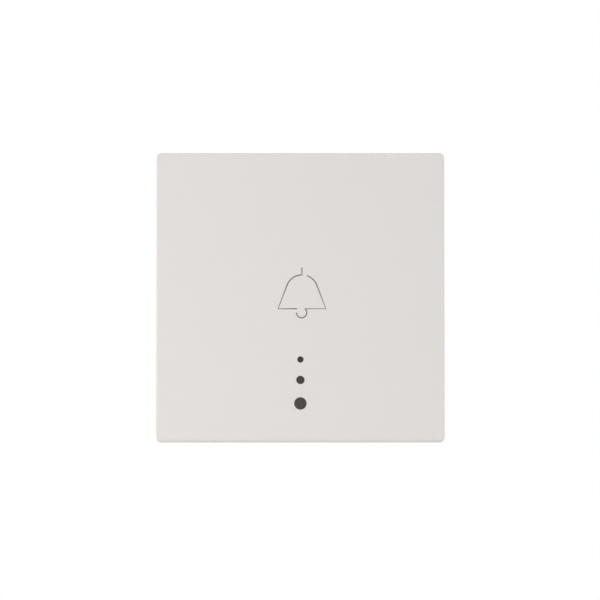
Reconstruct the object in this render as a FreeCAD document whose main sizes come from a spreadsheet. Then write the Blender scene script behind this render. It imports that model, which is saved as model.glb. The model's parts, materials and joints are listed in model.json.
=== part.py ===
import FreeCAD, Part
import math
import os
import re
import Sketcher

# A doorbell push button for a wall box. A square one-piece key rocks on a cradle in front of a
# steel support strap. Behind the strap a two-part moulded housing holds the contacts, the return spring,
# two screw terminals and a small lamp that shines through three round windows in the key.
# +Z is up and -Y faces the visitor. The origin is in the middle of the strap's back face,
# which lies on the wall.

SIZES = [
    ("key_side", 72.0, "width and height of the key at its rear edge"),
    ("key_corner", 1.2, "radius of the key's four corners"),
    ("key_edge", 0.6, "radius round the key's face"),
    ("key_face", 2.0, "thickness of the key's face"),
    ("key_skirt", 1.6, "thickness of the key's side walls"),
    ("key_draft", 1.5, "draft of the key's side walls, in degrees"),
    ("key_inset", 5.0, "from the pivot forward to the back of the key's face"),
    ("rib_inset", 5.0, "from the key's rear edge in to the square of ribs inside it"),
    ("key_rib", 0.8, "thickness and height of those ribs"),
    ("rest_tilt", 3.5, "how far the key leans out at its foot, in degrees"),
    ("press_angle", 6.0, "how far the key turns when it is pressed, in degrees"),
    ("strap_gap", 0.5, "least gap between the key and the strap"),
    ("small_dot", 1.6, "diameter of the upper window"),
    ("middle_dot", 2.1, "diameter of the middle window"),
    ("large_dot", 3.1, "diameter of the lower window"),
    ("dots_foot", 9.45, "from the key's lower edge up to the middle of the lower window"),
    ("clip_width", 4.0, "width of a clip leg"),
    ("clip_thick", 1.2, "thickness of a clip leg"),
    ("clip_barb", 0.5, "reach of a clip leg's barb"),
    ("clip_across", 12.0, "from the middle of the key across to a clip leg"),
    ("clip_up", 12.0, "from the middle of the key up or down to a clip leg"),
    ("clip_play", 0.15, "gap between a clip leg and the cradle"),
    ("light_plate", 1.4, "thickness of the light guide's plate"),
    ("light_width", 5.0, "width of the light guide's plate"),
    ("light_margin", 1.0, "how far that plate reaches past the windows"),
    ("light_reach", 5.6, "from the back of the key's face back to the light guide's end"),
    ("window_gap", 0.03, "gap round a light guide's stud"),
    ("pivot_height", 6.0, "from the wall forward to the pivot"),
    ("cradle_side", 34.0, "width and height of the cradle's plate"),
    ("cradle_thick", 1.6, "thickness of the cradle's plate"),
    ("cheek_thick", 2.0, "thickness of the cradle's cheeks"),
    ("cheek_foot", 4.5, "half the height of a cheek where it meets the plate"),
    ("cheek_wall", 0.4, "plastic round the pin in a cheek"),
    ("notch_play", 0.7, "gap between the light guide and the cradle"),
    ("pin_radius", 1.5, "radius of the pivot pins"),
    ("pin_play", 0.05, "gap round a pivot pin"),
    ("ear_thick", 2.5, "thickness of the bearing ears"),
    ("ear_wall", 1.3, "plastic round the pin in an ear"),
    ("ear_foot", 5.0, "half the height of an ear at its foot"),
    ("ear_play", 0.3, "gap between a cheek and its ear"),
    ("arm_length", 9.0, "from the pivot down to the plunger"),
    ("finger_width", 5.0, "width of the finger that presses the plunger"),
    ("finger_high", 3.0, "height of that finger"),
    ("finger_flare", 0.6, "how much the finger widens up and down at its root"),
    ("finger_reach", 1.5, "from the pivot back to the finger's tip"),
    ("finger_play", 0.15, "gap between the finger and the plunger"),
    ("strap_side", 71.0, "width and height of the strap"),
    ("strap_thick", 1.2, "thickness of the strap"),
    ("strap_corner", 4.0, "radius of the strap's corners"),
    ("hole_inset", 5.5, "from the strap's edge in to the middle of a hole or a side slot"),
    ("screw_hole", 1.8, "radius of the holes for the box screws"),
    ("slot_length", 6.0, "length of the two side slots"),
    ("lug_width", 9.0, "width of the notches that join straps side by side"),
    ("lug_depth", 1.6, "depth of those notches"),
    ("lug_up", 18.0, "from the middle up or down to a notch"),
    ("bead_length", 14.0, "length of the beads pressed into the strap"),
    ("bead_width", 2.4, "width of those beads"),
    ("bead_start", 6.0, "from the middle out to a bead"),
    ("bead_rise", 0.4, "height of those beads and depth of the grooves behind them"),
    ("housing_cut", 5.0, "cut at the housing's corners"),
    ("housing_wall", 1.6, "thickness of the housing's walls"),
    ("housing_depth", 21.0, "from the wall back to the housing's rear"),
    ("rear_bevel", 0.8, "bevel round the housing's rear"),
    ("cover_lap", 0.5, "how far the cover's plate reaches past the housing"),
    ("cover_thick", 2.0, "thickness of the cover's plate"),
    ("spigot_play", 0.1, "gap between the cover's rim and the housing"),
    ("window_play", 0.2, "gap between the cover's rim and the strap"),
    ("spigot_wall", 1.4, "thickness of the cover's rim"),
    ("spigot_depth", 2.5, "from the wall back to the rim's end"),
    ("guide_wall", 1.4, "thickness of the plunger's guide"),
    ("guide_depth", 6.0, "from the wall back to the guide's end"),
    ("plunger_radius", 2.5, "radius of the plunger"),
    ("plunger_play", 0.08, "gap round the plunger"),
    ("plunger_bevel", 0.4, "bevel round the plunger's nose"),
    ("collar_radius", 3.6, "radius of the plunger's collar"),
    ("collar_thick", 1.2, "thickness of that collar"),
    ("collar_play", 0.1, "gap between the collar and the guide's end"),
    ("neck_radius", 1.4, "radius of the plunger's neck"),
    ("neck_length", 3.0, "length of the neck behind the bridge"),
    ("bridge_lap", 2.0, "how far the contact bridge reaches past the middle of a tip"),
    ("bridge_width", 4.0, "width of the bridge and of the contact strips"),
    ("bridge_thick", 0.6, "thickness of the bridge"),
    ("bridge_play", 0.03, "gap round the neck in the bridge"),
    ("tip_inset", 3.4, "from a terminal block in to the middle of a contact tip"),
    ("tip_radius", 1.5, "radius of a contact tip's head"),
    ("tip_head", 0.8, "height of a contact tip's head"),
    ("tip_shank", 0.6, "radius of a contact tip's shank"),
    ("tip_rivet", 0.9, "radius of the tip's riveted end"),
    ("rivet_rise", 0.3, "height of the tip's riveted end"),
    ("tip_gap", 0.04, "gap left between the tips when the key is fully pressed"),
    ("strip_thick", 0.8, "thickness of a contact strip"),
    ("strip_lap", 2.2, "how far a contact strip reaches past the middle of its tip"),
    ("wire_inset", 2.8, "from a terminal block's inner side out to the wire hole"),
    ("wire_radius", 1.6, "radius of the wire holes"),
    ("wire_stop", 1.2, "brass left in front of the wire"),
    ("block_gap", 1.0, "gap between a terminal block and the housing's wall"),
    ("block_width", 7.0, "width of a terminal block"),
    ("block_high", 7.6, "height of a terminal block"),
    ("block_bevel", 0.5, "bevel along a terminal block"),
    ("holder_wall", 1.4, "plastic round a terminal block"),
    ("holder_depth", 5.0, "how far that plastic rises from the floor"),
    ("clamp_radius", 1.5, "radius of a terminal screw's shank"),
    ("clamp_play", 0.02, "gap round a terminal screw in its block"),
    ("clamp_head", 2.3, "radius of a terminal screw's head"),
    ("clamp_rise", 2.0, "height of a terminal screw's head"),
    ("clamp_lift", 0.2, "gap under a terminal screw's head"),
    ("wire_gap", 0.1, "gap between a terminal screw and the wire hole"),
    ("access_play", 0.3, "gap round a terminal screw's head"),
    ("spring_wire", 0.5, "diameter of the return spring's wire"),
    ("spring_radius", 2.1, "radius of the return spring's coil"),
    ("spring_turns", 7.0, "turns of the return spring"),
    ("spring_play", 0.04, "gap at each end of the return spring"),
    ("post_radius", 1.4, "radius of the post inside the spring"),
    ("post_length", 3.0, "length of that post"),
    ("lamp_radius", 1.5, "radius of the lamp"),
    ("lamp_play", 0.1, "gap round the lamp in the cover"),
    ("lamp_rise", 3.0, "from the lamp's flange to the top of its dome"),
    ("lamp_flange", 1.9, "radius of the lamp's flange"),
    ("lamp_seat", 1.0, "thickness of the lamp's flange"),
    ("lamp_gap", 0.77, "gap between that flange and the plunger's guide"),
    ("boss_gap", 0.2, "gap between the lamp's board and a boss of the cover"),
    ("board_high", 4.2, "height of the lamp's board"),
    ("board_thick", 0.8, "thickness of the lamp's board"),
    ("board_gap", 0.15, "gap between the lamp's board and the cover's rim"),
    ("peg_spread", 6.5, "from the middle out to a board peg"),
    ("peg_radius", 0.6, "radius of a board peg"),
    ("peg_play", 0.05, "gap round a board peg"),
    ("peg_rise", 0.5, "how far a peg stands out of the board"),
    ("chip_length", 3.2, "length of the lamp's resistor"),
    ("chip_high", 1.6, "height of the lamp's resistor"),
    ("chip_thick", 0.7, "thickness of the lamp's resistor"),
    ("chip_offset", 3.4, "from the middle out to the lamp's resistor"),
    ("lead_inset", 2.0, "from a terminal block in to a lamp lead"),
    ("lead_width", 1.2, "width of a lamp lead"),
    ("lead_thick", 0.4, "thickness of a lamp lead"),
    ("boss_inset", 6.8, "from the housing's side in to a housing screw"),
    ("boss_wall", 1.5, "plastic between a terminal block and a housing screw"),
    ("boss_radius", 3.0, "radius of the bosses round the housing screws"),
    ("boss_split", 4.0, "from the wall back to the end of the cover's bosses"),
    ("boss_low", 1.5, "height of the bosses on the base"),
    ("sleeve_radius", 2.2, "radius of the spacer sleeves between the bosses"),
    ("sleeve_play", 0.05, "gap between a sleeve and a terminal's holder"),
    ("fixing_radius", 1.1, "radius of a housing screw's shank"),
    ("fixing_head", 1.9, "radius of a housing screw's head"),
    ("fixing_rise", 1.4, "height of a housing screw's head"),
    ("fixing_sink", 0.3, "how deep a housing screw's head lies"),
    ("fixing_grip", 4.5, "how far a housing screw reaches into the cover"),
    ("fixing_end", 0.5, "hole left past the end of a housing screw"),
    ("fixing_play", 0.2, "gap round a housing screw in the housing"),
    ("thread_play", 0.02, "gap round a housing screw in the cover"),
    ("screw_slot", 0.7, "width of the slots and crosses in the screw heads"),
]

# Formulas of those sizes that more than one piece uses.
FORMULAS = {
    "rest_swing": "key_side / 2 * sin(rest_tilt)",
    "skirt_end": "pivot_height - strap_thick - strap_gap - rest_swing",
    "key_front": "key_inset + key_face",
    "rib_ring": "key_side - 2 * rib_inset",
    "guide_round": "plunger_radius + plunger_play + guide_wall",
    "upper_dot": "0 - arm_length - guide_round - lamp_gap - lamp_flange",
    "lower_dot": "dots_foot - key_side / 2",
    "dot_gap": "(upper_dot - lower_dot - small_dot / 2 - middle_dot - large_dot / 2) / 2",
    "centre_dot": "upper_dot - small_dot / 2 - dot_gap - middle_dot / 2",
    "cradle_back": "key_inset - cradle_thick",
    "cheek_out": "cradle_side / 2",
    "cheek_round": "pin_radius + cheek_wall",
    "ear_in": "cheek_out + ear_play",
    "ear_round": "pin_radius + pin_play + ear_wall",
    "screw_pitch": "strap_side - 2 * hole_inset",
    "cover_front": "strap_thick + cover_thick",
    "board_foot": "board_high / 2 - upper_dot",
    "housing_in": "board_foot + board_gap + spigot_wall + spigot_play",
    "housing_side": "2 * (housing_in + housing_wall)",
    "cover_side": "housing_side + 2 * cover_lap",
    "floor": "housing_depth - housing_wall",
    "travel": "arm_length * press_angle * pi / 180",
    "finger_tip": "0 - pivot_height + finger_reach * cos(rest_tilt) - arm_length * sin(rest_tilt)",
    "plunger_nose": "finger_tip + finger_play",
    "collar_front": "guide_depth + collar_play",
    "bridge_front": "collar_front + collar_thick",
    "bridge_back": "bridge_front + bridge_thick",
    "fixed_tip": "bridge_back + 2 * tip_head + travel + tip_gap",
    "block_front": "fixed_tip + strip_thick",
    "block_out": "housing_in - block_gap",
    "block_in": "block_out - block_width",
    "wire_offset": "block_in + wire_inset",
    "lead_spread": "block_in - lead_inset",
    "tip_spread": "block_in - tip_inset",
    "bridge_length": "2 * (tip_spread + bridge_lap)",
    "strip_start": "tip_spread - strip_lap",
    "clamp_level": "(block_front + floor) / 2",
    "board_front": "lamp_seat - strap_thick",
    "board_back": "board_front + board_thick",
    "board_length": "2 * (boss_across - boss_radius - boss_gap)",
    "boss_across": "housing_side / 2 - boss_inset",
    "boss_up": "arm_length + block_high / 2 + boss_wall + fixing_radius",
    "fixing_seat": "housing_depth - fixing_sink - fixing_rise",
}

CORNER_SHARE = 2 - math.sqrt(2)  # how much shorter a corner cut gets for each unit of inset
FRONT = "XZ_Plane"  # seen from the front: across is X, up is Z, and forward is -Y
SIDE = "YZ_Plane"  # seen from the side: across is Y, up is Z, and forward is +X
TOP = "XY_Plane"  # seen from above: across is X, up is Y, and forward is +Z
BOTH_SIDES = (("left", "0 - "), ("right", ""))
RUNS_PER_TURN = 12  # straight runs in one turn of the spring
MITRED = 1  # the way in which those runs meet
TINY = 1e-4

doc = FreeCAD.newDocument("doorbell_push")
sheet = doc.addObject("Spreadsheet::Sheet", "sizes")
for row, (alias, size, meaning) in enumerate(SIZES, start=1):
    sheet.set(f"A{row}", meaning)
    sheet.set(f"B{row}", str(size))
    sheet.setAlias(f"B{row}", alias)
doc.recompute()
NAMES = {alias for alias, size, meaning in SIZES}
parts = []


def formula(text):
    """Turns a formula of size names into an expression that reads the sheet."""

    def expand(found):
        word = found.group()
        if word in FORMULAS:
            return "(" + formula(FORMULAS[word]) + ")"
        return "sizes." + word if word in NAMES else word

    return re.sub(r"[a-z_]+", expand, text)


def value(text):
    """What a formula of size names comes to, in millimetres or degrees."""
    result = sheet.evalExpression(formula(text))
    return float(getattr(result, "Value", result))


def new_body(name):
    """An empty body for one piece."""
    body = doc.addObject("PartDesign::Body", name)
    body.Label = name
    parts.append(body)
    return body


def origin_plane(body, plane):
    """One of a body's own three planes."""
    return next(f for f in body.Origin.OriginFeatures if f.Role == plane)


class Outline:
    """A sketch on one of a body's planes. Every point and radius in it is a formula."""

    def __init__(self, body, name, plane, offset="0"):
        self.sketch = body.newObject("Sketcher::SketchObject", name)
        self.sketch.AttachmentSupport = [(origin_plane(body, plane), "")]
        self.sketch.MapMode = "FlatFace"
        self.sketch.setExpression("AttachmentOffset.Base.z", formula(offset))

    def fix(self, constraint, *where, size):
        """Adds a dimension that reads the sheet."""
        index = self.sketch.addConstraint(Sketcher.Constraint(constraint, *where, value(size)))
        self.sketch.setExpression(f"Constraints[{index}]", formula(size))

    def place(self, element, point, across, up):
        """Ties a point to its distances from the two axes."""
        for constraint, axis, size in (("DistanceX", -2, across), ("DistanceY", -1, up)):
            distance = value(size)
            if abs(distance) < TINY:
                self.sketch.addConstraint(Sketcher.Constraint("PointOnObject", element, point, axis))
            elif distance > 0:
                self.fix(constraint, -1, 1, element, point, size=size)
            else:
                self.fix(constraint, element, point, -1, 1, size=f"0 - ({size})")

    def polygon(self, *corners):
        """A closed outline through corners, each given as (across, up)."""
        spots = [FreeCAD.Vector(value(across), value(up), 0) for across, up in corners]
        ends = spots[1:] + spots[:1]
        lines = [
            self.sketch.addGeometry(Part.LineSegment(start, end), False)
            for start, end in zip(spots, ends)
        ]
        for line, following in zip(lines, lines[1:] + lines[:1]):
            self.sketch.addConstraint(Sketcher.Constraint("Coincident", line, 2, following, 1))
        for line, (across, up) in zip(lines, corners):
            self.place(line, 1, across, up)
        return self

    def box(self, left, right, bottom, top):
        """A rectangle between four edges."""
        return self.polygon((left, bottom), (right, bottom), (right, top), (left, top))

    def square(self, side):
        """A square round the middle."""
        return self.box(f"0 - ({side}) / 2", f"({side}) / 2", f"0 - ({side}) / 2", f"({side}) / 2")

    def cut_square(self, side, cut):
        """A square round the middle with its corners cut off."""
        long = f"({side}) / 2"
        short = f"({side}) / 2 - ({cut})"
        corners = []
        for across, up, first in (("", "", 1), ("0 - ", "", 0), ("0 - ", "0 - ", 1), ("", "0 - ", 0)):
            pair = [(long, short), (short, long)]
            for a, u in pair if first else reversed(pair):
                corners.append((f"{across}({a})", f"{up}({u})"))
        return self.polygon(*corners)

    def circle(self, across, up, radius):
        """A circle."""
        centre = FreeCAD.Vector(value(across), value(up), 0)
        ring = Part.Circle(centre, FreeCAD.Vector(0, 0, 1), value(radius))
        index = self.sketch.addGeometry(ring, False)
        self.fix("Radius", index, size=radius)
        self.place(index, 3, across, up)
        return self

    def slot(self, across, up, length, radius):
        """A level slot with round ends."""
        quarter = math.pi / 2
        reach = FreeCAD.Vector(value(length) / 2 - value(radius), 0, 0)
        rise = FreeCAD.Vector(0, value(radius), 0)
        axis = FreeCAD.Vector(0, 0, 1)
        left = FreeCAD.Vector(value(across), value(up), 0) - reach
        right = left + reach * 2
        pieces = (
            Part.ArcOfCircle(Part.Circle(left, axis, value(radius)), quarter, 3 * quarter),
            Part.LineSegment(left - rise, right - rise),
            Part.ArcOfCircle(Part.Circle(right, axis, value(radius)), -quarter, quarter),
            Part.LineSegment(right + rise, left + rise),
        )
        ring = [self.sketch.addGeometry(piece, False) for piece in pieces]
        for piece, following in zip(ring, ring[1:] + ring[:1]):
            self.sketch.addConstraint(Sketcher.Constraint("Tangent", piece, 2, following, 1))
        self.sketch.addConstraint(Sketcher.Constraint("Equal", ring[0], ring[2]))
        self.fix("Radius", ring[0], size=radius)
        self.place(ring[0], 3, f"{across} - ({length}) / 2 + {radius}", up)
        self.place(ring[2], 3, f"{across} + ({length}) / 2 - {radius}", up)
        return self


def pad(body, name, outline, length, backward=False, both_ways=False, draft=None):
    """Adds material, forward of the outline's plane unless it says otherwise."""
    feature = body.newObject("PartDesign::Pad", name)
    feature.Profile = outline.sketch
    feature.setExpression("Length", formula(length))
    feature.Reversed = backward
    feature.Midplane = both_ways
    if draft:
        feature.setExpression("TaperAngle", formula(draft))
    outline.sketch.Visibility = False
    return feature


def pocket(body, name, outline, length, backward=False, both_ways=False, draft=None):
    """Takes material away, in the direction in which a pad would add it."""
    doc.recompute()
    before = body.Shape.Volume
    feature = body.newObject("PartDesign::Pocket", name)
    feature.Profile = outline.sketch
    feature.setExpression("Length", formula(length))
    feature.Reversed = not backward
    feature.Midplane = both_ways
    if draft:
        feature.setExpression("TaperAngle", formula(draft))
    outline.sketch.Visibility = False
    doc.recompute()
    if not body.Shape.Volume < before - TINY:
        raise RuntimeError(f"{name} cuts nothing from {body.Label}")
    return feature


def mirror(body, name, plane, *features):
    """Repeats features on the other side of one of the body's planes."""
    feature = body.newObject("PartDesign::Mirrored", name)
    feature.Originals = list(features)
    feature.MirrorPlane = (origin_plane(body, plane), [""])
    body.Tip = feature
    return feature


def revolve(body, name, outline, axis="V_Axis"):
    """Turns an outline round one of its sketch's axes."""
    feature = body.newObject("PartDesign::Revolution", name)
    feature.Profile = outline.sketch
    feature.ReferenceAxis = (outline.sketch, [axis])
    feature.Angle = 360
    outline.sketch.Visibility = False
    return feature


def edges_where(body, test):
    """Names of the edges of a body on which a test holds at both ends and in the middle."""
    doc.recompute()
    names = []
    for index, edge in enumerate(body.Shape.Edges, start=1):
        first, last = edge.FirstParameter, edge.LastParameter
        if all(test(edge.valueAt(spot)) for spot in (first, (first + last) / 2, last)):
            names.append(f"Edge{index}")
    if not names:
        raise RuntimeError(f"no edge of {body.Label} was found")
    return names


def finish_edges(body, kind, name, size, test):
    """Rounds or bevels the edges that pass a test."""
    base = (body.Tip, edges_where(body, test))
    feature = body.newObject("PartDesign::" + kind, name)
    feature.Base = base
    feature.setExpression("Radius" if kind == "Fillet" else "Size", formula(size))
    body.Tip = feature
    return feature


def near(first, second):
    """True where two lengths are the same."""
    return abs(first - second) < 1e-3


def at_corner(half, up_half=None):
    """A test for the edges at the four corners of a plate seen from the front."""
    return lambda p: near(abs(p.x), half) and near(abs(p.z), half if up_half is None else up_half)


def hang_on_pivot(body):
    """Puts a piece that was drawn round the pivot in its place, leaning as the key does."""
    lean = FreeCAD.Rotation(FreeCAD.Vector(-1, 0, 0), value("rest_tilt"))
    body.Placement = FreeCAD.Placement(FreeCAD.Vector(0, 0, 0), lean)
    body.setExpression("Placement.Base.y", formula("0 - pivot_height"))
    body.setExpression("Placement.Rotation.Angle", formula("rest_tilt"))


def stand_at(body, across, back, up, turn=0):
    """Moves a turned piece to its place, with its head to +Y or turned about the vertical."""
    turned = FreeCAD.Rotation(FreeCAD.Vector(0, 0, 1), turn)
    body.Placement = FreeCAD.Placement(FreeCAD.Vector(0, 0, 0), turned)
    for axis, place in (("x", across), ("y", back), ("z", up)):
        body.setExpression(f"Placement.Base.{axis}", formula(place))


def make_key():
    """The square key: a thin tray with rounded edges, three windows and four clip legs."""
    body = new_body("key_plate")
    depth = "key_front + skirt_end"
    tray = Outline(body, "tray_outline", FRONT, "0 - skirt_end").square("key_side")
    pad(body, "tray", tray, depth, draft="0 - key_draft")
    front = value("key_front")
    rear = value("skirt_end")
    slim = value("key_side") / 2 - value(depth) * math.tan(math.radians(value("key_draft")))
    outside = slim - TINY
    finish_edges(body, "Fillet", "corners", "key_corner", lambda p: min(abs(p.x), abs(p.z)) > outside)
    finish_edges(body, "Fillet", "face_edge", "key_edge", lambda p: near(p.y, -front))
    hollow = Outline(body, "hollow_outline", FRONT, "0 - skirt_end").square("key_side - 2 * key_skirt")
    pocket(body, "hollow", hollow, "key_inset + skirt_end", draft="0 - key_draft")
    ribs = Outline(body, "rib_outline", FRONT, "key_inset").square("rib_ring")
    ribs.square("rib_ring - 2 * key_rib")
    pad(body, "ribs", ribs, "key_rib", backward=True)
    windows = Outline(body, "window_outline", FRONT, "key_inset")
    for dot in ("upper", "centre", "lower"):
        size = {"upper": "small", "centre": "middle", "lower": "large"}[dot]
        windows.circle("0", f"{dot}_dot", f"{size}_dot / 2")
    pocket(body, "windows", windows, "key_face")
    legs = Outline(body, "leg_outline", SIDE, "clip_across - clip_width / 2")
    barb = "clip_play - cradle_back"
    for way in ("", "0 - "):
        legs.polygon(
            ("0 - key_inset", f"{way}clip_up"),
            (barb, f"{way}clip_up"),
            (barb, f"{way}(clip_up - clip_barb)"),
            (f"{barb} + 2 * clip_barb", f"{way}clip_up"),
            (f"{barb} + 2 * clip_barb", f"{way}(clip_up + clip_thick)"),
            ("0 - key_inset", f"{way}(clip_up + clip_thick)"),
        )
    right_legs = pad(body, "right_legs", legs, "clip_width")
    mirror(body, "left_legs", SIDE, right_legs)
    hang_on_pivot(body)


def make_light_guide():
    """One smoky clear moulding whose three studs fill the key's windows."""
    body = new_body("light_guide")
    half = "light_width / 2"
    plate = Outline(body, "plate_outline", FRONT, "key_inset - light_plate")
    plate.box(
        f"0 - {half}",
        half,
        "lower_dot - large_dot / 2 - light_margin",
        "upper_dot + small_dot / 2 + light_margin",
    )
    pad(body, "plate", plate, "light_plate")
    side = value(half)
    top = value("upper_dot + small_dot / 2 + light_margin")
    foot = value("lower_dot - large_dot / 2 - light_margin")
    ends = (top, foot)
    finish_edges(
        body,
        "Fillet",
        "plate_corners",
        "light_width / 4",
        lambda p: near(abs(p.x), side) and any(near(p.z, end) for end in ends),
    )
    studs = Outline(body, "stud_outline", FRONT, "key_inset")
    studs.circle("0", "upper_dot", "small_dot / 2 - window_gap")
    studs.circle("0", "centre_dot", "middle_dot / 2 - window_gap")
    studs.circle("0", "lower_dot", "large_dot / 2 - window_gap")
    pad(body, "studs", studs, "key_face")
    collector = Outline(body, "collector_outline", FRONT, "key_inset - light_plate")
    collector.circle("0", "upper_dot", "lamp_radius")
    pad(body, "collector", collector, "light_reach - light_plate", backward=True)
    hang_on_pivot(body)


def make_cradle():
    """The cradle that carries the key, with its two pivot pins and the finger."""
    body = new_body("rocker_cradle")
    plate = Outline(body, "plate_outline", FRONT, "cradle_back").square("cradle_side")
    pad(body, "plate", plate, "cradle_thick")
    finish_edges(body, "Fillet", "plate_corners", "cradle_thick", at_corner(value("cheek_out")))
    slots = Outline(body, "slot_outline", FRONT, "cradle_back")
    for across in ("", "0 - "):
        for up in ("", "0 - "):
            slots.polygon(
                (f"{across}(clip_across - clip_width / 2 - clip_play)", f"{up}clip_up"),
                (f"{across}(clip_across + clip_width / 2 + clip_play)", f"{up}clip_up"),
                (
                    f"{across}(clip_across + clip_width / 2 + clip_play)",
                    f"{up}(clip_up + clip_thick + clip_barb + clip_play)",
                ),
                (
                    f"{across}(clip_across - clip_width / 2 - clip_play)",
                    f"{up}(clip_up + clip_thick + clip_barb + clip_play)",
                ),
            )
    pocket(body, "clip_slots", slots, "cradle_thick")
    notch = Outline(body, "notch_outline", FRONT, "cradle_back")
    half = "light_width / 2 + notch_play"
    top = "upper_dot + notch_play + max(small_dot / 2 + light_margin; lamp_radius)"
    notch.box(f"0 - ({half})", half, "0 - cheek_out - 1", top)
    pocket(body, "lamp_notch", notch, "cradle_thick")
    cheek = Outline(body, "cheek_outline", SIDE, "cheek_out - cheek_thick")
    cheek.polygon(
        ("0 - cradle_back", "cheek_foot"),
        ("0", "cheek_round"),
        ("cheek_round", "cheek_round / 2"),
        ("cheek_round", "0 - cheek_round / 2"),
        ("0", "0 - cheek_round"),
        ("0 - cradle_back", "0 - cheek_foot"),
    )
    right_cheek = pad(body, "right_cheek", cheek, "cheek_thick")
    pin = Outline(body, "pin_outline", SIDE, "cheek_out").circle("0", "0", "pin_radius")
    right_pin = pad(body, "right_pin", pin, "ear_thick")
    mirror(body, "left_side", SIDE, right_cheek, right_pin)
    finger = Outline(body, "finger_outline", SIDE)
    finger.polygon(
        ("0 - cradle_back", "finger_high / 2 + finger_flare - arm_length"),
        ("finger_reach", "finger_high / 2 - arm_length"),
        ("finger_reach", "0 - finger_high / 2 - arm_length"),
        ("0 - cradle_back", "0 - finger_high / 2 - finger_flare - arm_length"),
    )
    pad(body, "finger", finger, "finger_width", both_ways=True)
    reach = value("finger_reach")
    low = value("finger_width") / 2
    finish_edges(
        body,
        "Fillet",
        "finger_tip",
        "finger_high / 3",
        lambda p: near(p.y, reach) and abs(p.x) < low + TINY and not near(p.z, -value("arm_length")),
    )
    hang_on_pivot(body)


def make_strap():
    """The steel support strap: a stamped square with holes for the box screws."""
    body = new_body("support_strap")
    outline = Outline(body, "sheet_outline", FRONT).square("strap_side")
    pad(body, "plate", outline, "strap_thick")
    finish_edges(body, "Fillet", "corners", "strap_corner", at_corner(value("strap_side / 2")))
    inset = "housing_wall + spigot_play - window_play"
    window = Outline(body, "window_outline", FRONT)
    window.cut_square(f"housing_side - 2 * ({inset})", f"housing_cut - ({inset}) * {CORNER_SHARE}")
    pocket(body, "window", window, "strap_thick")
    slots = Outline(body, "slot_outline", FRONT)
    holes = Outline(body, "hole_outline", FRONT)
    for way in ("", "0 - "):
        slots.slot(f"{way}screw_pitch / 2", "0", "slot_length", "screw_hole")
        holes.circle("0", f"{way}screw_pitch / 2", "screw_hole")
    pocket(body, "side_slots", slots, "strap_thick")
    pocket(body, "end_holes", holes, "strap_thick")
    notches = Outline(body, "notch_outline", FRONT)
    for across in ("", "0 - "):
        for up in ("", "0 - "):
            notches.box(
                f"{across}(strap_side / 2 - lug_depth)",
                f"{across}(strap_side / 2 + 1)",
                f"{up}lug_up - lug_width / 2",
                f"{up}lug_up + lug_width / 2",
            )
    pocket(body, "lug_notches", notches, "strap_thick")
    beads = Outline(body, "bead_outline", FRONT, "strap_thick")
    grooves = Outline(body, "groove_outline", FRONT)
    for outline, inset in ((beads, "0"), (grooves, "bead_rise")):
        for across in ("", "0 - "):
            for up in ("", "0 - "):
                outline.box(
                    f"{across}(bead_start + {inset})",
                    f"{across}(bead_start + bead_length - {inset})",
                    f"{up}screw_pitch / 2 - bead_width / 2 + {inset}",
                    f"{up}screw_pitch / 2 + bead_width / 2 - {inset}",
                )
    pad(body, "beads", beads, "bead_rise")
    top = value("strap_thick + bead_rise")
    finish_edges(body, "Fillet", "bead_edges", "bead_rise * 0.9", lambda p: near(p.y, -top))
    pocket(body, "grooves", grooves, "bead_rise")


def boss_spots():
    """Where the four housing screws are: name, across and up."""
    return [
        (f"{height}_{side}", f"{across}boss_across", f"{up}boss_up")
        for height, up in (("upper", ""), ("lower", "0 - "))
        for side, across in BOTH_SIDES
    ]


def holder_box(outline, sign, margin, outer):
    """A rectangle round a terminal block, seen from the front."""
    outline.box(
        f"{sign}(block_in - {margin})",
        f"{sign}({outer})",
        f"0 - arm_length - block_high / 2 - {margin}",
        f"block_high / 2 - arm_length + {margin}",
    )


def cut_access(body):
    """Cuts the round holes at the two sides through which the terminal screws are turned."""
    access = Outline(body, "access_outline", SIDE, "block_out")
    access.circle("clamp_level", "0 - arm_length", "clamp_head + access_play")
    right_access = pocket(body, "right_access", access, "housing_side / 2 - block_out")
    mirror(body, "left_access", SIDE, right_access)


def make_ring():
    """The walls of the moulded housing: an eight-sided ring between the cover and the base."""
    body = new_body("housing_ring")
    walls = Outline(body, "wall_outline", FRONT).cut_square("housing_side", "housing_cut")
    walls.cut_square("2 * housing_in", f"housing_cut - housing_wall * {CORNER_SHARE}")
    pad(body, "walls", walls, "floor", backward=True)
    cut_access(body)


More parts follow.
